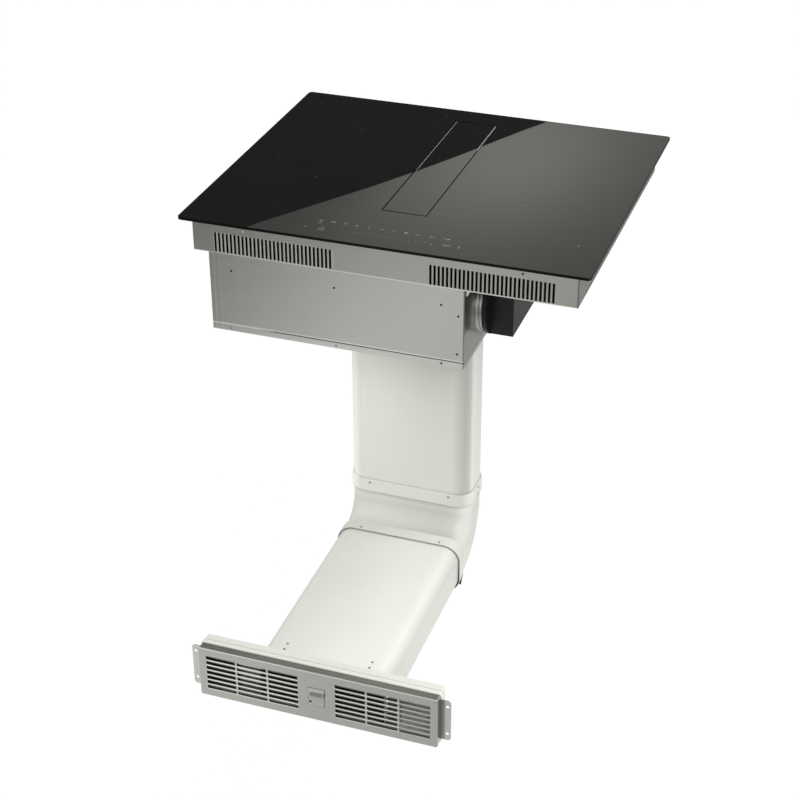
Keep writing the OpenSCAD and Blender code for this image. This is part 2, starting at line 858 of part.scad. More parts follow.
module fan_shaft() {
    color("#c4c6c8")
    translate([wheel_x, wheel_y, box_floor + scroll_t + can_h - bearing_l + over])
        cylinder(r = shaft_r, h = wheel_lift + cup_h + hub_l - scroll_t - can_h + bearing_l
                                  - cup_t);
}
// The roof falls to the right, so that the air from the inlet collar passes over it
module hood_side(x0, x1, top, low, z0) {
    polygon([[x0, z0], [x1, z0], [x1, box_floor + low], [hood_x0 + hood_flat, top], [x0, top]]);
}
module outlet_hood() {
    color("#5e6064")
    difference() {
        translate([0, hood_y1 + hood_t, 0]) rotate([90, 0, 0])
            linear_extrude(hood_y1 - hood_y0 + 2 * hood_t)
                hood_side(hood_x0 - hood_t, hood_x1 + hood_t, scroll_top + scroll_t, hood_low,
                          box_floor);
        translate([0, hood_y1, 0]) rotate([90, 0, 0]) linear_extrude(hood_y1 - hood_y0)
            hood_side(hood_x0, hood_x1, scroll_top, hood_low - 2 * hood_t, box_floor - over);
        box_at(hood_x0 - hood_t - over, hood_x0 + over, hood_y0, hood_y0 + channel_w,
               box_floor + scroll_t, scroll_top);
    }
}

// Flat duct with its spigot and elbow
spigot_drop = 26;
spigot_wall = 2;
flange_t = 2;
module duct_spigot() {
    color("#d3d4cd")
    translate([duct_x, duct_y, box_floor]) difference() {
        union() {
            linear_extrude(flange_t) rounded(duct_w, duct_d, duct_r);
            translate([0, 0, -spigot_drop]) linear_extrude(spigot_drop)
                rounded(spigot_w, spigot_d, spigot_r);
        }
        translate([0, 0, -spigot_drop - over]) linear_extrude(spigot_drop + flange_t + 2 * over)
            rounded(spigot_w - 2 * spigot_wall, spigot_d - 2 * spigot_wall,
                    spigot_r - spigot_wall);
    }
}

rim_z = box_z - drop_l;
ledge_z = rim_z - socket_l;
module duct_vertical() {
    color("#dfe0d9")
    translate([duct_x, duct_y, ledge_z + fit_gap]) linear_extrude(drop_l + socket_l - fit_gap)
        rounded_ring(duct_w, duct_d, duct_r, duct_t);
}

neck_l = 15;
step_l = 2;
bend_y = duct_y - duct_d / 2 - bend_r;
bend_z = ledge_z - step_l - neck_l;
run_z = bend_z - bend_r - duct_d / 2;
out_ledge_y = bend_y - step_l - step_l;
out_rim_y = out_ledge_y - socket_l;
module socket_section() {
    rounded_ring(duct_w + 2 * (fit_gap + duct_t), duct_d + 2 * (fit_gap + duct_t),
                 duct_r + fit_gap + duct_t, duct_t);
}
module step_section() {
    rounded_ring(duct_w + 2 * (fit_gap + duct_t), duct_d + 2 * (fit_gap + duct_t),
                 duct_r + fit_gap + duct_t, 2 * duct_t + fit_gap);
}
module duct_section() { rounded_ring(duct_w, duct_d, duct_r, duct_t); }
module duct_elbow() {
    color("#dadbd4")
    union() {
        translate([duct_x, duct_y, ledge_z]) linear_extrude(socket_l) socket_section();
        translate([duct_x, duct_y, ledge_z - step_l]) linear_extrude(step_l) step_section();
        translate([duct_x, duct_y, bend_z]) linear_extrude(neck_l) duct_section();
        translate([duct_x, bend_y, bend_z]) rotate([0, -90, 0]) rotate([0, 0, 90])
            rotate_extrude(angle = 90) translate([bend_r + duct_d / 2, 0])
                rotate(90) duct_section();
        translate([duct_x, bend_y, run_z]) rotate([90, 0, 0])
            linear_extrude(step_l) duct_section();
        translate([duct_x, bend_y - step_l, run_z]) rotate([90, 0, 0])
            linear_extrude(step_l) step_section();
        translate([duct_x, out_ledge_y, run_z]) rotate([90, 0, 0])
            linear_extrude(socket_l) socket_section();
    }
}
housing_back = out_rim_y - run_l;
module duct_horizontal() {
    color("#e2e3dc")
    translate([duct_x, out_ledge_y - fit_gap, run_z]) rotate([90, 0, 0])
        linear_extrude(socket_l - fit_gap + run_l) duct_section();
}

// Screws of the ducts, as places along the duct's width
duct_screw_x = [-61.5, 63.5];
rim_screw = 5.5;
joint_screw = 12.5;
joint_screw_gap = 13;
side_screw_up = 2;
module duct_screws() {
    socket_out = fit_gap + duct_t;
    color("#4c4d4a") {
        for (x = duct_screw_x) {
            translate([duct_x + x, duct_y - duct_d / 2 - socket_out, rim_z - rim_screw])
                rotate([90, 0, 0]) screw_head();
            translate([duct_x + x, out_rim_y + rim_screw, run_z + duct_d / 2 + socket_out])
                screw_head();
            translate([duct_x + x, housing_back + joint_screw_gap / 2, run_z + duct_d / 2])
                screw_head();
            translate([duct_x + x, housing_back + joint_screw_gap / 2 + joint_screw,
                       run_z + duct_d / 2]) screw_head();
        }
        for (z = [rim_z - rim_screw, ledge_z + side_screw_up])
            translate([duct_x + duct_w / 2 + socket_out, duct_y, z]) along_x() screw_head();
    }
}

// Plinth outlet
housing_t = 2.5;
lip_d = 7.5;
lip_out = 1;
corner_r = 3;
face_rise = 1.5;
face_z = run_z + face_rise;
frame_y = housing_back - housing_d;
face_y = frame_y - grille_t - fit_gap - grille_d;
module plinth_housing() {
    color("#e6e7e1")
    translate([duct_x, housing_back, face_z]) rotate([90, 0, 0]) difference() {
        union() {
            linear_extrude(housing_d) rounded(grille_w, grille_h, corner_r);
            translate([0, 0, housing_d - lip_d]) linear_extrude(lip_d)
                rounded(grille_w + 2 * lip_out, grille_h + 2 * lip_out, corner_r + lip_out);
            translate([0, -face_rise, -spigot_drop]) linear_extrude(spigot_drop + over)
                rounded(spigot_w, spigot_d, spigot_r);
        }
        translate([0, 0, housing_t]) linear_extrude(housing_d)
            rounded(grille_w - 2 * housing_t, grille_h - 2 * housing_t, corner_r - housing_t / 2);
        translate([0, -face_rise, -spigot_drop - over])
            linear_extrude(spigot_drop + housing_t + 2 * over)
                rounded(spigot_w - 2 * spigot_wall, spigot_d - 2 * spigot_wall,
                        spigot_r - spigot_wall);
    }
}
mat_t = 8;
mat_rim = 3;
mat_bar = 2;
mat_cols = 12;
mat_rows = 5;
mat_cell_w = (spigot_w - 2 * mat_rim - (mat_cols - 1) * mat_bar) / mat_cols;
mat_cell_h = (spigot_d - 2 * mat_rim - (mat_rows - 1) * mat_bar) / mat_rows;
module carbon_filter() {
    color("#1d1e1f")
    translate([duct_x, housing_back - housing_t, run_z]) rotate([90, 0, 0]) difference() {
        translate([-spigot_w / 2, -spigot_d / 2, 0]) cube([spigot_w, spigot_d, mat_t]);
        for (i = [0:mat_cols - 1], j = [0:mat_rows - 1])
            translate([-spigot_w / 2 + mat_rim + i * (mat_cell_w + mat_bar),
                       -spigot_d / 2 + mat_rim + j * (mat_cell_h + mat_bar), mat_t / 2])
                cube([mat_cell_w, mat_cell_h, mat_t]);
    }
}

// Two windows in the louvred front and two larger ones in the frame behind it
window_gap = 54.4;
window_w = 136;
window_h = (louvre_rows - 1) * louvre_pitch + louvre_open;
col_bar = 3;
col_w = (window_w - (louvre_cols - 1) * col_bar) / louvre_cols;
window_edge = 3;
ear_w = 5;
ear_h = 68;
ear_r = 5;
module frame_windows() {
    for (s = [-1, 1]) translate([s * (window_gap + window_w) / 2, 0])
        square([window_w + 2 * window_edge, window_h + 2 * window_edge], center = true);
}
module mounting_frame() {
    color("#b3b4ae")
    translate([duct_x, frame_y, face_z]) rotate([90, 0, 0]) linear_extrude(grille_t)
        difference() {
            union() {
                rounded(grille_w, grille_h, corner_r);
                rounded(ear_span + 2 * ear_w, ear_h, ear_r);
            }
            frame_windows();
            for (sx = [-1, 1], sz = [-1, 1])
                translate([sx * ear_span / 2, sz * ear_pitch / 2]) circle(ear_hole_r);
        }
}
catch_w = 14;
catch_h = 16;
catch_d = 5;
stem_r = 3;
latch_w = 24;
latch_h = 31;
latch_t = 1.5;
latch_play = 0.3;
latch_drop = -1.5;
module push_catch() {
    color("#5d5f62")
    translate([duct_x, frame_y - grille_t, face_z]) rotate([90, 0, 0]) difference() {
        translate([-catch_w / 2, -catch_h / 2, 0]) cube([catch_w, catch_h, catch_d]);
        translate([0, 0, latch_play]) cylinder(r = stem_r + fit_gap, h = catch_d + over);
    }
}

module grille_panel() {
    color("#b8b9b4")
    translate([duct_x, face_y, face_z]) difference() {
        rotate([-90, 0, 0]) linear_extrude(grille_d) rounded(grille_w, grille_h, corner_r);
        translate([0, grille_t, 0]) rotate([-90, 0, 0]) linear_extrude(grille_d)
            rounded(grille_w - 2 * grille_t, grille_h - 2 * grille_t, corner_r - grille_t);
        for (s = [-1, 1], c = [0:louvre_cols - 1], k = [0:louvre_rows - 1])
            translate([s * (window_gap + window_w) / 2 - window_w / 2 + c * (col_w + col_bar),
                       -over, -window_h / 2 + k * louvre_pitch])
                cube([col_w, grille_t + 2 * over, louvre_open]);
        translate([-latch_w / 2 - latch_play, -over, -latch_h / 2 - latch_play + latch_drop])
            cube([latch_w + 2 * latch_play, grille_t + 2 * over, latch_h + 2 * latch_play]);
    }
}
brow_h = 8;
brow_d = 4;
brow_up = 7;
dimple_r = 1.8;
dimple_in = 3;
dimple_up = 6.5;
module grille_latch() {
    color("#a9aaa5")
    translate([duct_x, face_y, face_z]) difference() {
        union() {
            translate([-latch_w / 2, 0, -latch_h / 2 + latch_drop])
                cube([latch_w, latch_t, latch_h]);
            translate([-latch_w / 2 + latch_play, latch_t, brow_up]) rotate([0, 90, 0])
                linear_extrude(latch_w - 2 * latch_play)
                    polygon([[-brow_h / 2, 0], [brow_h / 2, 0], [brow_h / 2, -latch_t - brow_d]]);
            translate([0, latch_t / 2, 0]) along_y() cylinder(r = stem_r, h = grille_d - catch_d + over);
        }
        translate([-latch_w / 2 + dimple_in, -over, -latch_h / 2 + latch_drop + dimple_up])
            along_y() cylinder(r = dimple_r, h = 2 * over + latch_t);
    }
}

glass_top();
rim_seal();
casing_sides();
casing_back();
casing_front_sheet();
casing_base();
casing_screws();
coil_windings();
coil_carriers();
coil_supports();
power_boards();
heat_sinks();
cooling_fan_frames();
cooling_rotor_left();
cooling_rotor_right();
touch_board();
cable_gland();
flap_glass();
flap_carrier();
flap_bushes();
flap_motor();
intake_throat();
throat_floor();
grease_filter();
intake_box();
drip_tray();
inlet_collar();
fan_box();
fan_box_base();
box_hangers();
box_screws();
scroll_housing();
scroll_cover();
impeller();
fan_shaft();
fan_motor();
outlet_hood();
duct_spigot();
duct_vertical();
duct_elbow();
duct_horizontal();
duct_screws();
plinth_housing();
carbon_filter();
mounting_frame();
push_catch();
grille_panel();
grille_latch();
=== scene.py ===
"""Looks for the venting hob: materials, printed marks, louvre blades, a clip, light and camera."""
import math

import bmesh
import bpy
from mathutils import Matrix, Vector


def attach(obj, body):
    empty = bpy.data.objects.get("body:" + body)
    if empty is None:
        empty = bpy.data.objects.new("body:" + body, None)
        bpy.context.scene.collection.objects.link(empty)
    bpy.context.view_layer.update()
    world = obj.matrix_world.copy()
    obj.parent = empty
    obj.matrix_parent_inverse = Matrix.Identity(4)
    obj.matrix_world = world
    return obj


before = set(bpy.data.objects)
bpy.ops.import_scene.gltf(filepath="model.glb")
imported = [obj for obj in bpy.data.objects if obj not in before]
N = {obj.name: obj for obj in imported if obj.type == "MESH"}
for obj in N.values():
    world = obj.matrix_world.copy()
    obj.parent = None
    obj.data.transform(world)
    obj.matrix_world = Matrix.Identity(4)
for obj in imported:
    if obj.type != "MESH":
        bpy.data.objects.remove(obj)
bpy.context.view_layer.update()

X, Y, Z = 0, 1, 2
MIX_A, MIX_B, MIX_COLOR = 6, 7, 2  # the colour sockets of a Mix node


# ---------------------------------------------------------------- node helpers
def bare_mat(name):
    """A material that holds only its output node."""
    m = bpy.data.materials.new(name)
    m.use_nodes = True
    nt = m.node_tree
    nt.nodes.clear()
    return m, nt, nt.nodes.new("ShaderNodeOutputMaterial")


def new_mat(name):
    m, nt, out = bare_mat(name)
    b = nt.nodes.new("ShaderNodeBsdfPrincipled")
    nt.links.new(b.outputs[0], out.inputs[0])
    return m, nt, b


def coords(nt, scale=(1, 1, 1)):
    tc = nt.nodes.new("ShaderNodeTexCoord")
    mp = nt.nodes.new("ShaderNodeMapping")
    mp.inputs["Scale"].default_value = scale
    nt.links.new(tc.outputs["Object"], mp.inputs[0])
    return mp.outputs[0]


def noise(nt, vec, scale, detail=3.0, rough=0.5):
    n = nt.nodes.new("ShaderNodeTexNoise")
    n.inputs["Scale"].default_value = scale
    n.inputs["Detail"].default_value = detail
    n.inputs["Roughness"].default_value = rough
    nt.links.new(vec, n.inputs["Vector"])
    return n.outputs[0]


def cells(nt, scale):
    n = nt.nodes.new("ShaderNodeTexVoronoi")
    n.inputs["Scale"].default_value = scale
    nt.links.new(coords(nt), n.inputs["Vector"])
    return n.outputs["Distance"]


def ramp(nt, fac, a, b, lo=0.3, hi=0.7):
    r = nt.nodes.new("ShaderNodeValToRGB")
    r.color_ramp.elements[0].position = lo
    r.color_ramp.elements[1].position = hi
    r.color_ramp.elements[0].color = (*a, 1)
    r.color_ramp.elements[1].color = (*b, 1)
    nt.links.new(fac, r.inputs[0])
    return r.outputs[0]


def remap(nt, fac, a, b, lo=0.3, hi=0.7):
    """a where fac is lo or less and b where it is hi or more."""
    r = nt.nodes.new("ShaderNodeMapRange")
    r.inputs["From Min"].default_value = lo
    r.inputs["From Max"].default_value = hi
    r.inputs["To Min"].default_value = a
    r.inputs["To Max"].default_value = b
    nt.links.new(fac, r.inputs[0])
    return r.outputs[0]


def multiplied(nt, a, b):
    """Two colours multiplied."""
    mix = nt.nodes.new("ShaderNodeMix")
    mix.data_type = "RGBA"
    mix.blend_type = "MULTIPLY"
    mix.inputs[0].default_value = 1.0
    nt.links.new(a, mix.inputs[MIX_A])
    nt.links.new(b, mix.inputs[MIX_B])
    return mix.outputs[MIX_COLOR]


def paint(nt, b, fac, dark, light, lo=0.3, hi=0.7):
    """Give the shader a base colour that runs from dark to light with fac."""
    nt.links.new(ramp(nt, fac, dark, light, lo, hi), b.inputs["Base Color"])


def roughen(nt, b, fac, lo, hi):
    """Give the shader a roughness that runs from lo to hi with fac."""
    nt.links.new(remap(nt, fac, lo, hi), b.inputs["Roughness"])


def bump(nt, b, height, dist, strength=1.0):
    n = nt.nodes.new("ShaderNodeBump")
    n.inputs["Distance"].default_value = dist
    n.inputs["Strength"].default_value = strength
    nt.links.new(height, n.inputs["Height"])
    nt.links.new(n.outputs[0], b.inputs["Normal"])


def lift(c, k):
    return tuple(min(1.0, x * k) for x in c)


def axis(nt, k):
    """One object coordinate, in metres."""
    tc = nt.nodes.new("ShaderNodeTexCoord")
    sp = nt.nodes.new("ShaderNodeSeparateXYZ")
    nt.links.new(tc.outputs["Object"], sp.inputs[0])
    return sp.outputs[k]


def maths(nt, op, a, b=None):
    """One Math node: a and b are numbers or sockets."""
    n = nt.nodes.new("ShaderNodeMath")
    n.operation = op
    for i, v in enumerate((a, b)):
        if v is None:
            continue
        if isinstance(v, (int, float)):
            n.inputs[i].default_value = v
        else:
            nt.links.new(v, n.inputs[i])
    return n.outputs[0]


def times(nt, first, *rest):
    """The product of all the factors."""
    for factor in rest:
        first = maths(nt, "MULTIPLY", first, factor)
    return first


def inverse(nt, factor):
    return maths(nt, "SUBTRACT", 1.0, factor)


def step(nt, k, lo, hi, a=0.0, b=1.0):
    """A factor that is a below lo and b above hi on axis k."""
    return remap(nt, axis(nt, k), a, b, lo, hi)


def seam(nt, k, at, half, tone):
    """A factor that is 1 but falls to tone within half of one plane across axis k."""
    off = maths(nt, "ABSOLUTE", maths(nt, "SUBTRACT", axis(nt, k), at))
    return remap(nt, off, tone, 1.0, half * 0.6, half)


def band(nt, k, lo, hi, soft=0.0003, soft_hi=None):
    """A factor that is 1 between two planes across axis k and 0 outside them."""
    a = axis(nt, k)
    sh = soft if soft_hi is None else soft_hi
    return times(nt, remap(nt, a, 0.0, 1.0, lo - soft, lo + soft),
                 remap(nt, a, 1.0, 0.0, hi - sh, hi + sh))


def grey_ramp(nt, k, stops, grey):
    """A colour that follows axis k through stops of (place, value): grey turns a value into it."""
    r = nt.nodes.new("ShaderNodeValToRGB")
    lo, hi = stops[0][0], stops[-1][0]
    el = r.color_ramp.elements
    for q, (at, v) in ((el[0], stops[0]), (el[1], stops[-1])):
        q.position = (at - lo) / (hi - lo)
        q.color = grey(v)
    for at, v in stops[1:-1]:
        el.new((at - lo) / (hi - lo)).color = grey(v)
    nt.links.new(step(nt, k, lo, hi), r.inputs[0])
    return r.outputs[0]


PROFILE_TOP = 1.6  # the largest value that a profile's stop may have


def profile(nt, k, stops):
    """A factor that follows axis k through the stops."""
    return times(nt, grey_ramp(nt, k, stops, lambda v: (*[v / PROFILE_TOP] * 3, 1)), PROFILE_TOP)


def blend(nt, t, a, b):
    """a where t is 0, b where it is 1."""
    return maths(nt, "ADD", times(nt, a, inverse(nt, t)), times(nt, b, t))


def shade(nt, b, factor):
    """Multiply the base colour by a factor."""
    link = b.inputs["Base Color"].links[0]
    nt.links.new(multiplied(nt, link.from_socket, factor), b.inputs["Base Color"])


def brighten(nt, b, amount):
    shade(nt, b, maths(nt, "ADD", 1.0, amount))


def darken(nt, b, amount):
    shade(nt, b, inverse(nt, amount))


# ------------------------------------------------------------------- materials
GRAIN_X = (0.02, 1, 1)
GRAIN_Y = (1, 0.02, 1)
GRAIN_Z = (1, 1, 0.05)
GROUND_MIRROR, FACE_MIRROR = 0.03, 0.46  # specular level of the glass's ground edges and its face


def brushed(name, color, rough=0.32, grain=(1, 1, 1), depth=0.000003, metal=1.0, vary=0.05):
    """Steel sheet with a fine grain along one axis: grain holds the stretch of each axis."""
    m, nt, b = new_mat(name)
    fine = noise(nt, coords(nt, grain), 2200, 3, 0.5)
    broad = noise(nt, coords(nt), 5, 3, 0.5)
    grained = ramp(nt, fine, lift(color, 1 - vary), lift(color, 1 + vary), 0.35, 0.65)
    clouds = ramp(nt, broad, (0.96, 0.96, 0.955), (1, 1, 1))
    nt.links.new(multiplied(nt, grained, clouds), b.inputs["Base Color"])
    b.inputs["Metallic"].default_value = metal
    roughen(nt, b, fine, rough - 0.03, rough + 0.04)
    bump(nt, b, fine, depth, 0.5)
    return m


def moulded(name, color, rough=0.42, grain=1400, depth=0.00002, vary=0.03, spec=0.5):
    """Moulded plastic with a fine texture and a little tone variation."""
    m, nt, b = new_mat(name)
    fine = noise(nt, coords(nt), grain, 2, 0.5)
    broad = noise(nt, coords(nt), 7, 3, 0.5)
    paint(nt, b, broad, lift(color, 1 - vary), lift(color, 1 + vary))
    roughen(nt, b, fine, rough - 0.04, rough + 0.06)
    b.inputs["Specular IOR Level"].default_value = spec
    bump(nt, b, fine, depth, 0.4)
    return m


def hob_glass(name):
    """Black ceramic glass with faint smears."""
    m, nt, b = new_mat(name)
    smear = noise(nt, coords(nt), 9, 4, 0.6)
    paint(nt, b, smear, (0.0042, 0.0045, 0.0042), (0.0058, 0.006, 0.0056))
    roughen(nt, b, smear, 0.003, 0.012)
    b.inputs["IOR"].default_value = 1.5
    b.inputs["Specular IOR Level"].default_value = FACE_MIRROR
    return m


def copper_wire():
    """Litz wire: the coil's rings are in the solid, and its strands are here."""
    m, nt, b = new_mat("copper_wire")
    fine = noise(nt, coords(nt), 600, 3, 0.6)
    paint(nt, b, fine, (0.34, 0.11, 0.035), (0.62, 0.27, 0.11))
    b.inputs["Metallic"].default_value = 0.85
    roughen(nt, b, fine, 0.3, 0.5)
    bump(nt, b, fine, 0.0002, 0.8)
    return m


def board():
    """Green circuit board with a texture of small parts."""
    m, nt, b = new_mat("board")
    parts = cells(nt, 160)
    paint(nt, b, parts, (0.02, 0.11, 0.05), (0.03, 0.17, 0.08), 0.2, 0.5)
    b.inputs["Roughness"].default_value = 0.4
    bump(nt, b, parts, 0.0002, 0.6)
    return m


def carbon():
    """Open black foam of the odour filter."""
    m, nt, b = new_mat("carbon_foam")
    pores = cells(nt, 420)
    paint(nt, b, pores, (0.004, 0.004, 0.004), (0.028, 0.028, 0.027), 0.1, 0.6)
    b.inputs["Roughness"].default_value = 0.9
    bump(nt, b, pores, 0.001)
    return m


def foam():
    """Grey foam of the seal under the glass."""
    m, nt, b = new_mat("seal_foam")
    pores = noise(nt, coords(nt), 1500, 4, 0.7)
    paint(nt, b, pores, (0.16, 0.165, 0.155), (0.26, 0.265, 0.25))
    b.inputs["Roughness"].default_value = 0.95
    bump(nt, b, pores, 0.0003)
    return m


def sheet_steel(name, color, rough, grain=GRAIN_X):
    """Brushed sheet with an even tone."""
    return brushed(name, color, rough, grain, vary=0.015)


def duct_plastic(name, rough=0.38):
    return moulded(name, (0.68, 0.69, 0.64), rough, 900, vary=0.02)


CASING = (0.41, 0.41, 0.385)
PANEL = (0.48, 0.485, 0.457)
M = {
    "glass": hob_glass("hob_glass"),
    "foam": foam(),
    "flap": hob_glass("flap_glass"),
    "casing": sheet_steel("casing_steel", CASING, 0.32),
    # the front and the side get their own copies of the casing steel, to carry painted light and
    # shade
    "casing_front": sheet_steel("casing_front_steel", CASING, 0.32),
    "casing_side": sheet_steel("casing_side_steel", CASING, 0.32, GRAIN_Y),
    "box": sheet_steel("box_steel", (0.50, 0.50, 0.475), 0.3),
    "panel": sheet_steel("panel_steel", PANEL, 0.28),
    "blade": brushed("blade_steel", (0.25, 0.252, 0.24), 0.5, GRAIN_X, metal=0.15, vary=0.03),
    "latch": sheet_steel("latch_steel", PANEL, 0.28),
    "frame": sheet_steel("frame_steel", (0.60, 0.605, 0.57), 0.3),
    "collar": brushed("collar_metal", (0.6, 0.6, 0.58)),
    # pale steel for the casing screws stands for a painted highlight; tone_casing darkens the
    # right one
    "casing_screw": brushed("casing_screw_steel", (0.9, 0.9, 0.88), 0.4),
    "screw": brushed("screw_steel", (0.05, 0.05, 0.048), 0.4),
    "duct_screw": brushed("duct_screw_steel", (0.3, 0.3, 0.29), 0.4),
    "alu": brushed("aluminium", (0.72, 0.73, 0.74), 0.38, GRAIN_Y),
    "mesh_alu": brushed("filter_aluminium", (0.6, 0.61, 0.61), 0.42),
    "ground": brushed("ground_steel", (0.62, 0.62, 0.61), 0.22, GRAIN_Z),
    "motor": brushed("motor_paint", (0.28, 0.29, 0.3), 0.5, metal=0.2),
    "bush": brushed("bush_bronze", (0.55, 0.38, 0.16), 0.35),
    "copper": copper_wire(),
    "board": board(),
    "carbon": carbon(),
    "carrier": moulded("coil_carrier", (0.62, 0.58, 0.49), 0.6),
    "white": moulded("white_plastic", (0.66, 0.665, 0.63)),
    # one plastic in four copies, so that each duct and the housing carry their own painted light
    "duct_v": duct_plastic("duct_plastic"),
    "duct_e": duct_plastic("elbow_plastic"),
    "duct_h": duct_plastic("run_plastic"),
    "housing": duct_plastic("housing_plastic", 0.4),
    "black": moulded("black_plastic", (0.012, 0.012, 0.013), 0.45),
    "intake": moulded("intake_plastic", (0.008, 0.0082, 0.0078), 0.33, spec=0.22),
    "scroll": moulded("scroll_plastic", (0.03, 0.032, 0.035), 0.5),
    "wheel": moulded("wheel_plastic", (0.03, 0.06, 0.1), 0.45),
}


# ----------------------------------------------------------------------- tones
# Fine lines and falls of light that follow the object's coordinates. Places are in metres.
def parts_of(key):
    m = M[key]
    return m.node_tree, m.node_tree.nodes["Principled BSDF"]


def tone_glass():
    """The ground edges of the glass mirror nearly nothing; the flap's long edges carry a painted
    highlight, far stronger behind a slanting line.
    """
    nt, b = parts_of("glass")
    half_w, front, back = 0.2993, -0.0053, 0.5053
    slot_half_w, slot_front, slot_back = 0.0342, 0.1074, 0.4616
    face = times(nt, band(nt, X, -half_w, half_w, 0.0002), band(nt, Y, front, back, 0.0002))
    slot = times(nt, band(nt, X, -slot_half_w, slot_half_w, 0.0001),
                 band(nt, Y, slot_front, slot_back, 0.0001))
    face = times(nt, face, inverse(nt, slot))
    nt.links.new(remap(nt, face, GROUND_MIRROR, FACE_MIRROR, 0.0, 1.0),
                 b.inputs["Specular IOR Level"])
    nt, b = parts_of("flap")
    # painted highlight along the flap's long edges, far stronger behind a slanting line
    slant, near_gain, far_gain = 1.64, 9.0, 95.0
    far = maths(nt, "SUBTRACT", axis(nt, Y), times(nt, axis(nt, X), slant))
    rim = maths(nt, "ADD", near_gain, remap(nt, far, 0.0, far_gain, 0.304, 0.315))
    edge = remap(nt, maths(nt, "ABSOLUTE", axis(nt, X)), 0.0, 1.0, 0.0312, 0.0315)
    brighten(nt, b, times(nt, edge, rim))


def tone_casing():
    """A painted highlight along the bottom edge of the casing's front, painted light on the bars
    between its left slots, the dark joint at its right corner, painted shadow lines on its side,
    and a painted highlight on its left screw, the right one darkened."""
    nt, b = parts_of("casing_front")
    # painted highlight along the bottom edge of the front
    bottom_highlight = step(nt, Z, -0.0474, -0.0468, 1.8, 1.0)
    shade(nt, b, bottom_highlight)
    corner = seam(nt, X, 0.2815, 0.0012, 0.4)
    shade(nt, b, corner)
    # painted light on the bars between the left slots, strongest at the far left
    slots = times(nt, band(nt, Z, -0.0466, -0.0164), band(nt, X, -0.250, -0.068, 0.0005))
    brighten(nt, b, times(nt, slots, step(nt, X, -0.25, -0.07, 0.62, 0.18)))
    nt, b = parts_of("casing_side")
    lines = times(nt, seam(nt, Z, -0.0443, 0.0013, 0.4), seam(nt, Z, -0.0482, 0.0008, 0.55))
    past_corner = step(nt, Y, 0.035, 0.05)
    shade(nt, b, blend(nt, past_corner, 1.0, lines))
    # painted highlight: the left screw keeps its pale steel, the right one is darkened
    nt, b = parts_of("casing_screw")
    shade(nt, b, step(nt, X, -0.01, 0.01, 1.0, 0.05))


def tone_box():
    """Lit edge and shadow line painted where the base's lip meets the box, the lip below them
    lighter, a painted highlight along the lip at its left end, faint lines of painted light and
    shade near its left end, the dark corner at its right, painted shade on its right side that is
    darkest towards the top and lighter by the collar, and painted light on some of the screws."""
    nt, b = parts_of("box")
    # a lit edge and a shadow line painted along the joint of lip and box, and the lip below made
    # lighter
    lit_edge = seam(nt, Z, -0.1612, 0.0011, 1.45)
    shadow = seam(nt, Z, -0.1631, 0.0011, 0.3)
    lip = step(nt, Z, -0.1644, -0.1640, 1.2, 1.0)
    for tone in (lit_edge, shadow, lip):
        shade(nt, b, tone)
    # painted highlight along the top of the lip at its left end
    left = step(nt, X, -0.19, -0.16, 1.0, 0.0)
    brighten(nt, b, times(nt, left, 3.2, band(nt, Z, -0.1640, -0.1616, 0.0002)))
    # faint lines of painted light and shade near the left end
    for at, tone in ((-0.2572, 0.86), (-0.2528, 1.12), (-0.2484, 0.88), (-0.2440, 1.08)):
        shade(nt, b, seam(nt, X, at, 0.0011, tone))
    corner = seam(nt, X, 0.1219, 0.0010, 0.42)
    shade(nt, b, corner)
    # painted shade on the right side, darkest towards the top under the casing, with painted light
    # near the collar
    side_shade = profile(nt, Z, ((-0.173, 1.1), (-0.122, 1.05), (-0.117, 0.55), (-0.090, 0.45),
                              (-0.084, 0.32), (-0.048, 0.28)))
    light_by_collar = times(nt, band(nt, Z, -0.118, -0.086, 0.002), step(nt, Y, 0.025, 0.06, 0.0, 0.9))
    side = step(nt, X, 0.1224, 0.1228)
    shade(nt, b, blend(nt, side, 1.0, maths(nt, "ADD", side_shade, light_by_collar)))
    # painted light on the screws on the lip and on the one at the left; the rest stay dark
    nt, b = parts_of("screw")
    on_lip = times(nt, step(nt, Z, -0.1625, -0.1615, 1.0, 0.0), step(nt, X, 0.02, 0.04, 1.0, 0.0))
    at_left = step(nt, X, -0.2515, -0.2505, 1.0, 0.0)
    brighten(nt, b, times(nt, maths(nt, "ADD", on_lip, at_left), 5.0))


def tone_collar():
    """Rolled beads round the collar drawn as thin lines of painted shade, and the casing's painted
    shadow on its upper part.
    """
    nt, b = parts_of("collar")
    # thin lines of painted shade at the beads
    for bead in (0.1232, 0.1278, 0.1322):
        shade(nt, b, seam(nt, X, bead, 0.0009, 0.45))
    shade(nt, b, step(nt, Z, -0.092, -0.082, 1.0, 0.4))


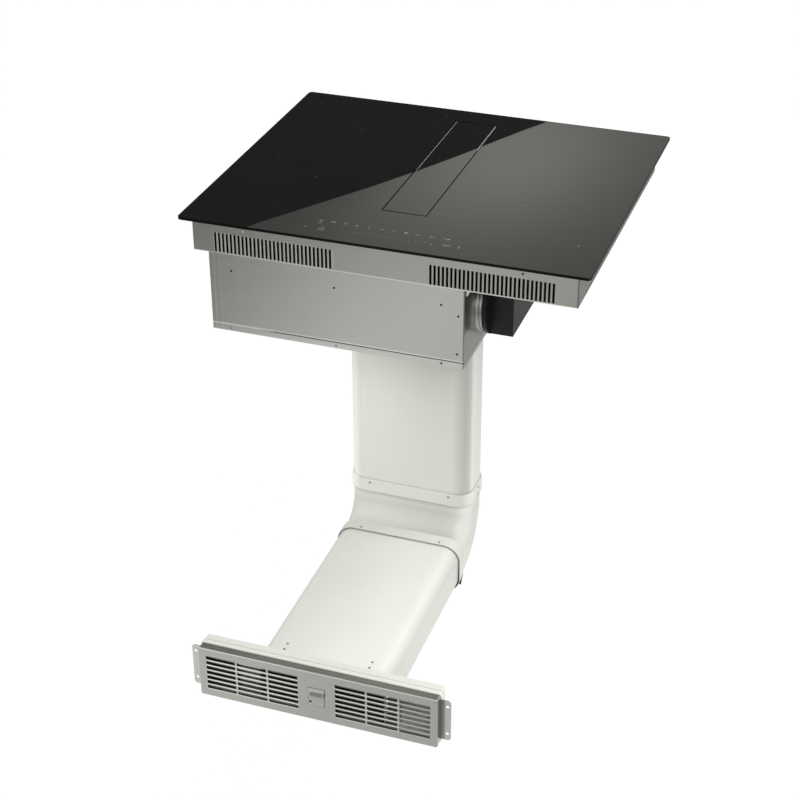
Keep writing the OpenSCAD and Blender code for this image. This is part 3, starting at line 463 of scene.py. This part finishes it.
def tone_ducts():
    """The painted fall of light across each duct: the bright left edge, the darker right corner,
    and a painted shadow in the gap at the elbow's outlet rim.
    """
    nt, b = parts_of("duct_v")
    upper = profile(nt, X, ((-0.0713, 1.3), (-0.062, 1.25), (-0.052, 1.0), (-0.01, 0.94),
                            (0.02, 0.86), (0.06, 0.78), (0.092, 0.77), (0.102, 0.64),
                            (0.110, 0.52), (0.1152, 0.6), (0.1180, 1.0), (0.1187, 1.04)))
    lower = profile(nt, X, ((-0.0713, 1.36), (-0.062, 1.32), (-0.052, 1.0), (0.06, 1.0),
                            (0.092, 0.97), (0.102, 0.78), (0.110, 0.66), (0.1152, 0.74),
                            (0.1180, 1.1), (0.1187, 1.14)))
    shade(nt, b, blend(nt, step(nt, Z, -0.46, -0.2), lower, upper))
    nt, b = parts_of("duct_e")
    socket = profile(nt, X, ((-0.0741, 1.4), (-0.064, 1.3), (-0.052, 1.02), (0.05, 1.0),
                             (0.09, 0.93), (0.108, 0.84), (0.1187, 1.05), (0.1215, 1.1)))
    neck = times(nt,
                 profile(nt, X, ((-0.0741, 0.93), (-0.02, 0.94), (0.03, 0.87), (0.08, 0.83),
                                 (0.098, 0.88), (0.108, 1.0), (0.1215, 1.02))),
                 profile(nt, Z, ((-0.5658, 1.0), (-0.475, 1.0), (-0.462, 0.96), (-0.452, 1.06),
                                 (-0.4465, 0.95), (-0.4435, 0.84), (-0.4425, 0.8))))
    run = profile(nt, X, ((-0.0741, 0.86), (-0.04, 0.92), (0.0, 0.98), (0.04, 1.06),
                          (0.08, 1.14), (0.105, 1.16), (0.117, 1.0), (0.1215, 1.0)))
    tone = blend(nt, step(nt, Z, -0.4428, -0.4418), neck, socket)
    tone = blend(nt, step(nt, Y, 0.030, 0.033, 1.0, 0.0), tone, run)
    shade(nt, b, tone)
    # painted shadow in the gap at the front rim of the elbow's outlet, deepest low at the right
    lip = step(nt, Y, 0.0102, 0.0106, 1.0, 0.0)
    deep = times(nt, step(nt, X, 0.05, 0.12, 0.6, 0.72), step(nt, Z, -0.535, -0.515, 1.3, 1.0))
    darken(nt, b, times(nt, lip, deep))
    nt, b = parts_of("duct_h")
    shade(nt, b, profile(nt, X, ((-0.0713, 1.0), (-0.05, 0.98), (-0.02, 1.03), (0.02, 1.11),
                                 (0.06, 1.18), (0.09, 1.2), (0.106, 1.24), (0.112, 1.1),
                                 (0.117, 0.97), (0.1187, 0.96))))


def tone_housing():
    """Painted shadow line at the housing's lip, painted light growing towards its right, and
    painted shade on the unlit ends inside it.
    """
    nt, b = parts_of("housing")
    shade(nt, b, seam(nt, Y, -0.3095, 0.0009, 0.4))
    # painted light, brighter towards the right
    shade(nt, b, profile(nt, X, ((-0.1513, 1.0), (0.02, 1.04), (0.1, 1.1), (0.1987, 1.16))))
    inside = times(nt, band(nt, Z, -0.5625, -0.4825), band(nt, Y, -0.330, -0.2990, 0.0003))
    left_end = times(nt, inside, band(nt, X, -0.1492, -0.098, 0.0003, 0.005))
    darken(nt, b, times(nt, left_end, 0.93))
    left_low = times(nt, inside, band(nt, X, -0.098, -0.02, 0.005))
    darken(nt, b, times(nt, left_low, step(nt, Z, -0.545, -0.505, 0.72, 0.0)))
    right = times(nt, inside, band(nt, X, 0.106, 0.135, 0.003))
    slit = times(nt, band(nt, X, 0.1128, 0.1143, 0.0003), step(nt, Z, -0.548, -0.545))
    darken(nt, b, times(nt, right, 0.8, inverse(nt, slit)))


# The louvred front, in mm: each column's ends, the top opening's upper edge, and the blade's
# section as (y, z) from an opening's upper edge
LOUVRE_COLS = ((-139.5, -96.17), (-93.17, -49.83), (-46.83, -3.5),
               (50.9, 94.23), (97.23, 140.57), (143.57, 186.9))
LOUVRE_TOP, LOUVRE_PITCH, LOUVRE_ROWS = -494.2, 8.4, 7
BLADE = ((-328.2, 0.0), (-327.6, 0.0), (-325.4, -4.8), (-326.0, -4.8))


def mm(v):
    return v / 1000.0


def tone_plinth():
    """Painted light on the grille's upper edge and bars, its darkened top, the painted shadow on
    the frame's right ear, and painted shade on the latch's brow with the painted shadow under it."""
    nt, b = parts_of("panel")
    # painted highlight along the front's upper edge, and the top return darkened
    face = step(nt, Y, -0.3290, -0.3286, 1.0, 0.0)
    brighten(nt, b, times(nt, face, step(nt, Z, -0.4832, -0.4826, 0.0, 0.75)))
    darken(nt, b, times(nt, inverse(nt, face), step(nt, Z, -0.4835, -0.4822, 0.0, 0.22)))
    # painted light on the bars of each window
    rows = times(nt, band(nt, Z, -0.5520, -0.4942, 0.0001), face)
    windows = [times(nt, band(nt, X, lo, hi), gain) for lo, hi, gain in
               ((-0.1397, -0.0033, 0.75), (0.0507, 0.1421, 0.65), (0.1421, 0.1871, 0.1))]
    gain = maths(nt, "ADD", windows[0], maths(nt, "ADD", windows[1], windows[2]))
    pitch, lowest_bar = mm(LOUVRE_PITCH), 0.5508
    up_from_bar = maths(nt, "MODULO", maths(nt, "ADD", axis(nt, Z), lowest_bar + pitch), pitch)
    bars = remap(nt, up_from_bar, 0.0, 1.0, 0.0061, 0.0063)
    brighten(nt, b, times(nt, rows, bars, gain))
    nt, b = parts_of("frame")
    darken(nt, b, times(nt, band(nt, X, 0.1970, 0.2043, 0.0006), 0.42))
    nt, b = parts_of("latch")
    # painted shade on the brow's lower part, and painted shadow on the plate under the brow
    plate = step(nt, Y, -0.3302, -0.3298)
    under = profile(nt, Z, ((-0.5395, 1.04), (-0.5285, 1.0), (-0.5235, 0.9), (-0.5196, 0.75),
                            (-0.5190, 1.0), (-0.5097, 1.1), (-0.5093, 0.5), (-0.5085, 0.5)))
    brow_shade = profile(nt, Z, ((-0.5195, 0.5), (-0.5186, 0.42), (-0.5136, 0.45), (-0.5124, 1.05),
                            (-0.5115, 1.1)))
    between_ends = band(nt, X, 0.0145, 0.0335, 0.0018, 0.0012)
    shade(nt, b, blend(nt, plate, blend(nt, between_ends, 0.85, brow_shade), under))
    right_edge = step(nt, X, 0.0345, 0.0349, 1.0, 0.45)
    shade(nt, b, right_edge)


def tone_blades():
    """The blades catch more light toward the right and where the first window is lit."""
    nt, b = parts_of("blade")
    shade(nt, b, profile(nt, X, ((-0.1395, 0.35), (-0.125, 0.6), (-0.095, 0.85), (-0.092, 1.0),
                                 (-0.0035, 0.7), (0.05, 0.55), (0.115, 0.7), (0.14, 0.75),
                                 (0.1436, 1.4), (0.187, 1.3))))
    lit = times(nt, band(nt, X, -0.094, -0.058, 0.001, 0.003),
                step(nt, Z, -0.530, -0.514, 0.0, 1.6))
    glint = times(nt, band(nt, X, 0.1243, 0.1264, 0.0002), step(nt, Z, -0.520, -0.516, 0.0, 5.0))
    brighten(nt, b, maths(nt, "ADD", lit, glint))


def tone_carbon():
    """The filter's pale end strip."""
    nt, b = parts_of("carbon")
    shade(nt, b, step(nt, X, 0.1136, 0.1140, 1.0, 40.0))


for tone_part in (tone_glass, tone_carbon, tone_blades, tone_casing, tone_box, tone_collar,
                  tone_ducts, tone_plinth, tone_housing):
    tone_part()

# ----------------------------------------------------------------- given nodes
GIVEN = {
    "glass_top": "glass", "flap_glass": "flap", "rim_seal": "foam", "casing_sides": "casing_side",
    "casing_back": "casing", "casing_base": "casing", "casing_front_sheet": "casing_front",
    "casing_screws": "casing_screw", "coil_windings": "copper", "coil_carriers": "carrier",
    "coil_supports": "alu", "power_boards": "board", "heat_sinks": "alu",
    "cooling_fan_frames": "black", "cooling_rotor_left": "black", "cooling_rotor_right": "black",
    "touch_board": "board", "cable_gland": "black", "flap_carrier": "casing",
    "flap_bushes": "bush", "flap_motor": "white", "intake_throat": "intake",
    "throat_floor": "intake", "grease_filter": "mesh_alu", "intake_box": "intake",
    "drip_tray": "black", "inlet_collar": "collar", "fan_box": "box", "fan_box_base": "box",
    "box_hangers": "white", "box_screws": "screw", "scroll_housing": "scroll",
    "scroll_cover": "scroll", "impeller": "wheel", "fan_shaft": "ground", "fan_motor": "motor",
    "outlet_hood": "scroll", "duct_spigot": "duct_v", "duct_vertical": "duct_v",
    "duct_elbow": "duct_e", "duct_horizontal": "duct_h", "duct_screws": "duct_screw",
    "plinth_housing": "housing", "carbon_filter": "carbon", "mounting_frame": "frame",
    "push_catch": "black", "grille_panel": "panel", "grille_latch": "latch",
}
# Width of the rounded edges, in metres
BEVEL = {
    "glass_top": 0.0008, "flap_glass": 0.0005, "casing_front_sheet": 0.0004, "fan_box": 0.0005,
    "fan_box_base": 0.0005, "intake_box": 0.0015, "duct_vertical": 0.0004,
    "duct_horizontal": 0.0004, "duct_elbow": 0.0006, "plinth_housing": 0.0006,
    "mounting_frame": 0.0002, "grille_panel": 0.00045, "grille_latch": 0.0004,
    "scroll_housing": 0.0006, "outlet_hood": 0.0005, "inlet_collar": 0.0003,
    "flap_carrier": 0.0004, "box_hangers": 0.0003,
}
SHARP_ANGLE = math.radians(35)
WELD_DISTANCE = 1e-5
for name, o in N.items():
    me = o.data
    me.materials.clear()
    me.materials.append(M[GIVEN[name]])
    for p in me.polygons:
        p.use_smooth = True
    weld = o.modifiers.new("weld", "WELD")
    weld.merge_threshold = WELD_DISTANCE
    if name in BEVEL:
        edge = o.modifiers.new("edge", "BEVEL")
        edge.width = BEVEL[name]
        edge.segments = 2
        edge.limit_method = "ANGLE"
        edge.angle_limit = SHARP_ANGLE
        edge.use_clamp_overlap = True
    crease = o.modifiers.new("crease", "EDGE_SPLIT")
    crease.split_angle = SHARP_ANGLE
    flat = o.modifiers.new("flat", "WEIGHTED_NORMAL")
    flat.mode = "FACE_AREA"
    flat.weight = 60
    flat.keep_sharp = True


# ---------------------------------------------------------------- small pieces
def link_piece(name, bm, mat, body):
    me = bpy.data.meshes.new(name)
    bmesh.ops.recalc_face_normals(bm, faces=bm.faces)
    bm.to_mesh(me)
    bm.free()
    me.materials.append(mat)
    o = bpy.data.objects.new(name, me)
    bpy.context.scene.collection.objects.link(o)
    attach(o, body)


def prism(bm, outline, z0, z1):
    """A closed prism on an outline of (x, y) in mm."""
    low = [bm.verts.new((mm(x), mm(y), mm(z0))) for x, y in outline]
    top = [bm.verts.new((mm(x), mm(y), mm(z1))) for x, y in outline]
    n = len(outline)
    bm.faces.new(low[::-1])
    bm.faces.new(top)
    for i in range(n):
        j = (i + 1) % n
        bm.faces.new((low[i], low[j], top[j], top[i]))


def strip(bm, outline, x0, x1):
    """A closed strip with a section of (y, z) in mm, between two planes across X."""
    near = [bm.verts.new((mm(x0), mm(y), mm(z))) for y, z in outline]
    far = [bm.verts.new((mm(x1), mm(y), mm(z))) for y, z in outline]
    n = len(outline)
    bm.faces.new(near)
    bm.faces.new(far[::-1])
    for i in range(n):
        j = (i + 1) % n
        bm.faces.new((near[i], near[j], far[j], far[i]))


def bar(x, y, w, h, deg=0.0):
    c, s = math.cos(math.radians(deg)), math.sin(math.radians(deg))
    pts = [(-w / 2, -h / 2), (w / 2, -h / 2), (w / 2, h / 2), (-w / 2, h / 2)]
    return [(x + c * a - s * b, y + s * a + c * b) for a, b in pts]


def cross(x, y, size, stroke):
    return [bar(x, y, size, stroke), bar(x, y, stroke, size)]


def dot(x, y, r, sides=16):
    turns = [2 * math.pi * i / sides for i in range(sides)]
    return [(x + r * math.cos(a), y + r * math.sin(a)) for a in turns]


def arc(x, y, r, t, a0, a1, n=14):
    """A curved stroke of width t as one outline."""
    ang = [math.radians(a0 + (a1 - a0) * i / n) for i in range(n + 1)]
    outer = [(x + (r + t / 2) * math.cos(a), y + (r + t / 2) * math.sin(a)) for a in ang]
    inner = [(x + (r - t / 2) * math.cos(a), y + (r - t / 2) * math.sin(a)) for a in ang]
    return outer + inner[::-1]


def print_mat(name, color):
    m, nt, b = new_mat(name)
    paint(nt, b, noise(nt, coords(nt), 2500, 2), lift(color, 0.85), lift(color, 1.1))
    b.inputs["Roughness"].default_value = 0.55
    return m


PRINT = print_mat("print_grey", (0.25, 0.255, 0.24))
PRINT_DIM = print_mat("print_dim", (0.06, 0.062, 0.058))
GLASS_TOP, PRINT_HEIGHT = 5.0, 0.04


def printed(name, outlines, mat):
    bm = bmesh.new()
    for outline in outlines:
        prism(bm, outline, GLASS_TOP, GLASS_TOP + PRINT_HEIGHT)
    link_piece(name, bm, mat, "hob")


printed("touch_keys", [
    # the back row, from the left
    bar(-101.6, 49.6, 7, 0.7), bar(-101.6, 46.6, 0.8, 6), arc(-101.6, 44, 3, 0.7, 200, 340),
    bar(-83.6, 49.1, 6.5, 1.7),
    bar(-66.6, 49, 0.8, 7.5, -28), bar(-65.2, 49.6, 0.7, 6, 30),
    dot(-48.2, 47.7, 1.6),
    bar(-29.9, 48.1, 0.9, 5.2), bar(-29.9, 50, 2.6, 0.8),
    bar(-11.8, 48.1, 5.6, 1.1), bar(5.9, 49, 4.6, 1.0),
    dot(23.0, 48.3, 1.8), dot(26.3, 47.2, 1.5),
    bar(41.6, 46.9, 5.6, 1.0), dot(60.2, 47.0, 1.4), bar(63.8, 47.6, 4.2, 0.7),
    bar(79.8, 48.0, 4.6, 0.8), dot(85.6, 47.0, 1.9), bar(88.6, 47.0, 3.0, 0.9),
    # the front row: its right end, then its left
    bar(89.0, 28.0, 11, 1.5), bar(107.1, 27.7, 1.3, 7), dot(68.3, 24.4, 1.2),
    arc(-115.9, 25.2, 2.2, 0.7, 190, 350), arc(-93, 24.6, 3.6, 0.7, 20, 160),
    bar(-95.5, 21.4, 2.4, 2.0), bar(-91, 21.2, 3.2, 1.6), bar(-87.4, 23.2, 1.2, 1.2),
], PRINT)
# The slider's runs of dots: ends in X, then ends in Y
SLIDER = ((-46.5, -35, 25.6, 26.4), (-29.5, -17, 27.0, 26.0), (-12, 12.5, 25.2, 26.6),
          (18, 36.5, 26.4, 23.8), (44, 63, 27.0, 28.4))
SLIDER_PITCH, SLIDER_DOT = 3.3, 0.62
steps = []
for x0, x1, y0, y1 in SLIDER:
    n = max(2, int((x1 - x0) / SLIDER_PITCH))
    for i in range(n):
        t = i / (n - 1)
        steps.append(dot(x0 + (x1 - x0) * t, y0 + (y1 - y0) * t, SLIDER_DOT, 10))
printed("touch_slider", steps, PRINT)
captions = [bar(-74.8, 24.6, 5, 0.7), bar(-83.6, 44.6, 5, 0.5), dot(51.8, 86.9, 0.9)]
captions += [bar(x, 40.5, 3.2, 0.5) for x in (-48, -30, -12, 6, 24, 42)]
printed("touch_captions", captions, PRINT_DIM)
ZONES = ((-263, 464), (-162, 380), (-165, 187), (-250, 248), (-53, 472))
ZONES_RIGHT = ((152.5, 186.5), (153, 378), (260, 85))
printed("zone_marks", [o for x, y in ZONES for o in cross(x, y, 3.6, 0.5)], PRINT_DIM)
printed("zone_marks_right", [o for x, y in ZONES_RIGHT for o in cross(x, y, 4.2, 0.6)], PRINT)


def louvre_blades():
    """The sloping blade behind each opening of the louvred front, bent in from its upper edge.
    Those of the lowest row are longer."""
    bm = bmesh.new()
    end_gap, low_drop = 0.1, 1.3
    for x0, x1 in LOUVRE_COLS:
        for row in range(LOUVRE_ROWS):
            top = LOUVRE_TOP - row * LOUVRE_PITCH
            drop = low_drop if row == LOUVRE_ROWS - 1 else 1.0
            strip(bm, [(y, top + z * drop) for y, z in BLADE], x0 + end_gap, x1 - end_gap)
    link_piece("louvre_blades", bm, M["blade"], "grille")


louvre_blades()


def run_clip():
    """The thin hook beside the socket of the horizontal duct."""
    bm = bmesh.new()
    hook = ((16.5, -553), (19, -553.5), (26, -543), (26, -538.5), (23.8, -538.5), (22.6, -543.5))
    strip(bm, hook, 118.9, 121.6)
    link_piece("run_clip", bm, M["black"], "hob")


run_clip()

# ---------------------------------------------------------------------- camera
# Fitted to the photo: its focal length in pixels, and its place and turn in the shared frame
IMAGE_PX, FOCAL_PX, SENSOR_MM = 800, 1788.03, 36
CAMERA_AT = (0.7535161, -2.0733131, 1.0748831)
YAW, PITCH, ROLL = 0.3352815, 0.5381401, -0.0032349
sc = bpy.context.scene
sc.view_settings.view_transform = "Standard"
cam_data = bpy.data.cameras.new("camera")
cam_data.sensor_width = SENSOR_MM
cam_data.lens = FOCAL_PX / IMAGE_PX * SENSOR_MM
cam_data.clip_end = 60
cam = bpy.data.objects.new("camera", cam_data)
sc.collection.objects.link(cam)
ahead = Vector((-math.sin(YAW) * math.cos(PITCH), math.cos(YAW) * math.cos(PITCH),
                -math.sin(PITCH)))
level = Vector((math.cos(YAW), math.sin(YAW), 0))
upright = level.cross(ahead)
right = math.cos(ROLL) * level + math.sin(ROLL) * upright
up = -math.sin(ROLL) * level + math.cos(ROLL) * upright
turn = Matrix((right, up, -ahead)).transposed()
cam.matrix_world = Matrix.Translation(CAMERA_AT) @ turn.to_4x4()
sc.camera = cam

# ----------------------------------------------------------------------- stage
FLOOR_Z = -1.15
CARD_Z, PANEL_Z = FLOOR_Z + 0.004, FLOOR_Z + 0.008


def stage_mesh(name, corners, mat):
    me = bpy.data.meshes.new(name)
    me.from_pydata(corners, [], [tuple(range(len(corners)))])
    me.materials.append(mat)
    o = bpy.data.objects.new(name, me)
    sc.collection.objects.link(o)
    return o


def rect(x0, x1, y0, y1, z):
    return [(x0, y0, z), (x1, y0, z), (x1, y1, z), (x0, y1, z)]


def floor_mat():
    """A white floor. What the camera sees of it is lifted to white."""
    m, nt, out = bare_mat("floor")
    b = nt.nodes.new("ShaderNodeBsdfPrincipled")
    b.inputs["Base Color"].default_value = (0.9, 0.9, 0.895, 1)
    b.inputs["Roughness"].default_value = 0.9
    b.inputs["Specular IOR Level"].default_value = 0.1
    e = nt.nodes.new("ShaderNodeEmission")
    e.inputs[0].default_value = (1, 1, 1, 1)
    e.inputs[1].default_value = 1.015
    lp = nt.nodes.new("ShaderNodeLightPath")
    mix = nt.nodes.new("ShaderNodeMixShader")
    nt.links.new(times(nt, lp.outputs["Is Camera Ray"], 0.9), mix.inputs[0])
    nt.links.new(b.outputs[0], mix.inputs[1])
    nt.links.new(e.outputs[0], mix.inputs[2])
    nt.links.new(mix.outputs[0], out.inputs[0])
    return m


stage_mesh("floor", rect(-30, 30, -30, 30, FLOOR_Z), floor_mat())


def emission_mat(name):
    m, nt, out = bare_mat(name)
    e = nt.nodes.new("ShaderNodeEmission")
    nt.links.new(e.outputs[0], out.inputs[0])
    return m, nt, e


def glow_mat(name, centre, squash, base, gain, width, side):
    """A card brightest at its centre and stretched along Y, which falls off towards low X:
    side holds the X of its dull end, the tone there, and the X from which it is full."""
    m, nt, e = emission_mat(name)
    dull_x, dull, full_x = side
    dx = maths(nt, "SUBTRACT", axis(nt, X), centre[0])
    dy = times(nt, maths(nt, "SUBTRACT", axis(nt, Y), centre[1]), squash)
    d2 = maths(nt, "ADD", times(nt, dx, dx), times(nt, dy, dy))
    bell = maths(nt, "EXPONENT", times(nt, d2, -0.5 / width ** 2))
    glow = maths(nt, "ADD", base, times(nt, bell, gain))
    e.inputs[0].default_value = (1, 1, 0.93, 1)
    nt.links.new(times(nt, glow, step(nt, X, dull_x, full_x, dull, 1.0)), e.inputs[1])
    return m


def card_mat(name, stops, fade=None):
    """A card whose tone follows X by the stops. It may fade to one tone along another axis:
    fade holds that axis, where the fade starts and ends on it, and the tone."""
    m, nt, e = emission_mat(name)
    col = grey_ramp(nt, X, stops, lambda v: (v, v, v * 0.985, 1))
    if fade:
        k, lo, hi, tone = fade
        mix = nt.nodes.new("ShaderNodeMix")
        mix.data_type = "RGBA"
        nt.links.new(step(nt, k, lo, hi), mix.inputs[0])
        nt.links.new(col, mix.inputs[MIX_A])
        mix.inputs[MIX_B].default_value = (tone, tone, tone, 1)
        col = mix.outputs[MIX_COLOR]
    nt.links.new(col, e.inputs[0])
    return m


def card(name, corners, mat):
    """A stage piece that only glossy rays meet."""
    o = stage_mesh(name, corners, mat)
    o.visible_camera = False
    o.visible_diffuse = False
    o.visible_shadow = False
    o.visible_transmission = False
    o.visible_volume_scatter = False


# What the glass and the steel mirror: a dark screen behind on the left, and a floor that is
# brightest in a band ahead on the left
SCREEN_EDGE = ((-1.3235, 1.7313), (-1.108, 2.115), (-1.013, 2.263), (-0.902, 2.434),
               (-0.807, 2.594), (-0.718, 2.757), (-0.648, 2.894), (-0.606, 2.975),
               (-0.3855, 3.3853))
card("screen_dark",
     [(x, y, 1.075) for x, y in ((-1.75, 1.73), *SCREEN_EDGE, (-1.75, 3.3853))],
     card_mat("screen_dark", ((-2.0, 0.06), (0.0, 0.075))))
card("screen_grey", rect(-1.6, 0.3, 0.7, 1.68, 1.07),
     card_mat("screen_grey", ((-1.6, 0.18), (0.3, 0.26))))
card("screen_light", rect(-1.9, 0.6, 1.7, 4.2, 1.08),
     glow_mat("screen_light", centre=(-0.565, 2.713), squash=0.559, base=0.52, gain=0.651,
              width=0.237, side=(-1.05, 0.72, -0.85)))
card("floor_tone", rect(-5, 4, -5, -0.3, CARD_Z),
     card_mat("floor_tone", ((-1.6, 0.1), (-1.3, 0.14), (-1.13, 0.25), (-1.0, 0.5), (-0.88, 0.64),
                             (-0.78, 0.88), (-0.66, 1.1), (-0.5, 1.3), (-0.27, 0.66),
                             (-0.05, 0.45), (0.4, 0.4)), fade=(Y, -0.85, -0.5, 1.0)))
card("floor_panel", rect(-0.75, 0.4, -1.35, -0.75, PANEL_Z),
     card_mat("floor_panel", ((-0.75, 0.9), (-0.48, 0.88), (-0.27, 0.75), (-0.05, 0.74),
                              (0.4, 0.7))))
card("floor_back", rect(-5, 5, 0.9, 7, CARD_Z),
     card_mat("floor_back", ((-3.0, 0.38), (3.0, 0.42))))

world = bpy.data.worlds.new("world")
sc.world = world
world.use_nodes = True
sky = world.node_tree
sky.nodes.clear()
sky_out = sky.nodes.new("ShaderNodeOutputWorld")
sky_light = sky.nodes.new("ShaderNodeBackground")
sky_light.inputs[0].default_value = (1, 1, 0.99, 1)
sky_light.inputs[1].default_value = 1.0
sky.links.new(sky_light.outputs[0], sky_out.inputs[0])

KEY_AT, KEY_AIM = Vector((1.6, -1.6, 2.2)), Vector((0, 0, -0.2))
lamp = bpy.data.lights.new("key", "AREA")
lamp.energy = 30
lamp.shape = "RECTANGLE"
lamp.size = lamp.size_y = 1.6
key = bpy.data.objects.new("key", lamp)
sc.collection.objects.link(key)
key.location = KEY_AT
key.rotation_euler = (KEY_AIM - KEY_AT).to_track_quat("-Z", "Y").to_euler()
